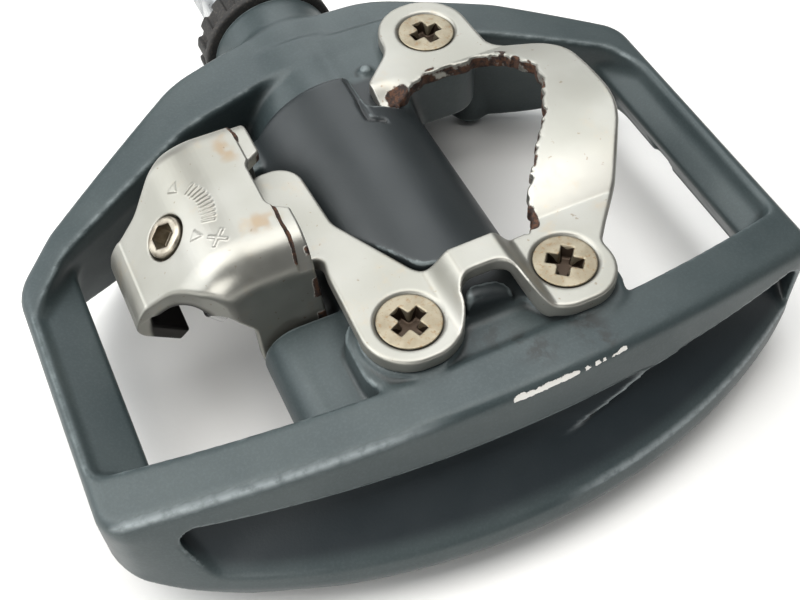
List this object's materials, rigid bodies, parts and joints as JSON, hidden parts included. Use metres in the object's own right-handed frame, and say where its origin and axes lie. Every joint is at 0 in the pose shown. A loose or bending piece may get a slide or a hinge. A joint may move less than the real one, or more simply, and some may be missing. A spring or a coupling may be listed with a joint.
{
  "type": "clipless pedal",
  "caption": "Touring clipless bicycle pedal with a sprung cleat binding on one face and a flat pinned platform on the other.",
  "frame": {"origin": "centre of the spindle's shoulder, where it bears on the crank", "axes": "+X to the toe, +Y out of the spindle towards the crank, +Z through the sprung face"},
  "size_m": [0.0973, 0.1108, 0.0309],
  "materials": {
    "cage_paint": "satin slate-grey paint on cast aluminium",
    "black_steel": "black oxide",
    "plated_steel": "silver plating with rust in its creases",
    "screw_steel": "dulled plating",
    "bare_steel": "ground",
    "spring_steel": "drawn wire",
    "spindle_steel": "satin plated",
    "black_resin": "moulded",
    "seal_rubber": "soft",
    "bush_resin": "moulded"
  },
  "bodies": {
    "spindle": {"spindle": "spindle_steel", "inner_cone": "bare_steel", "outer_cone": "bare_steel", "lock_nut": "bare_steel", "inner_balls": "bare_steel", "outer_balls": "bare_steel"},
    "pedal": {"pedal_body": "cage_paint", "grip_pins": "black_steel", "binding_plate": "plated_steel", "binding_screws": "screw_steel", "jaw_pivot_pin": "bare_steel", "jaw_spring_inner": "spring_steel", "jaw_spring_outer": "spring_steel", "lock_bolt": "black_resin", "axle_seal": "seal_rubber", "inner_bush": "bush_resin", "bearing_sleeve": "bare_steel"},
    "jaw": {"rear_jaw": "plated_steel"},
    "adjuster": {"adjuster_bolt": "screw_steel"},
    "tension": {"tension_plate": "bare_steel"}
  },
  "joints": [
    {"name": "pedal_spin", "type": "hinge", "parent": "spindle", "child": "pedal", "pos_m": [0, 0, 0], "axis": [0, 1, 0], "continuous": true},
    {"name": "jaw_hinge", "type": "hinge", "parent": "pedal", "child": "jaw", "pos_m": [-0.0182, -0.0532, 0.0005], "axis": [0, -1, 0], "range_deg": [0, 13], "stiffness_Nm_per_rad": 4},
    {"name": "adjuster_turn", "type": "hinge", "parent": "jaw", "child": "adjuster", "pos_m": [-0.0297, -0.0532, 0.014], "axis": [-0.6157, 0, 0.788], "range_deg": [-720, 0]},
    {"name": "tension_slide", "type": "slide", "parent": "jaw", "child": "tension", "axis": [-0.6157, 0, 0.788], "range_m": [0, 0.0016]}
  ],
  "couplings": [
    {"joint": "adjuster_turn", "follows": "tension_slide", "rad_per_m": -7853.9}
  ]
}
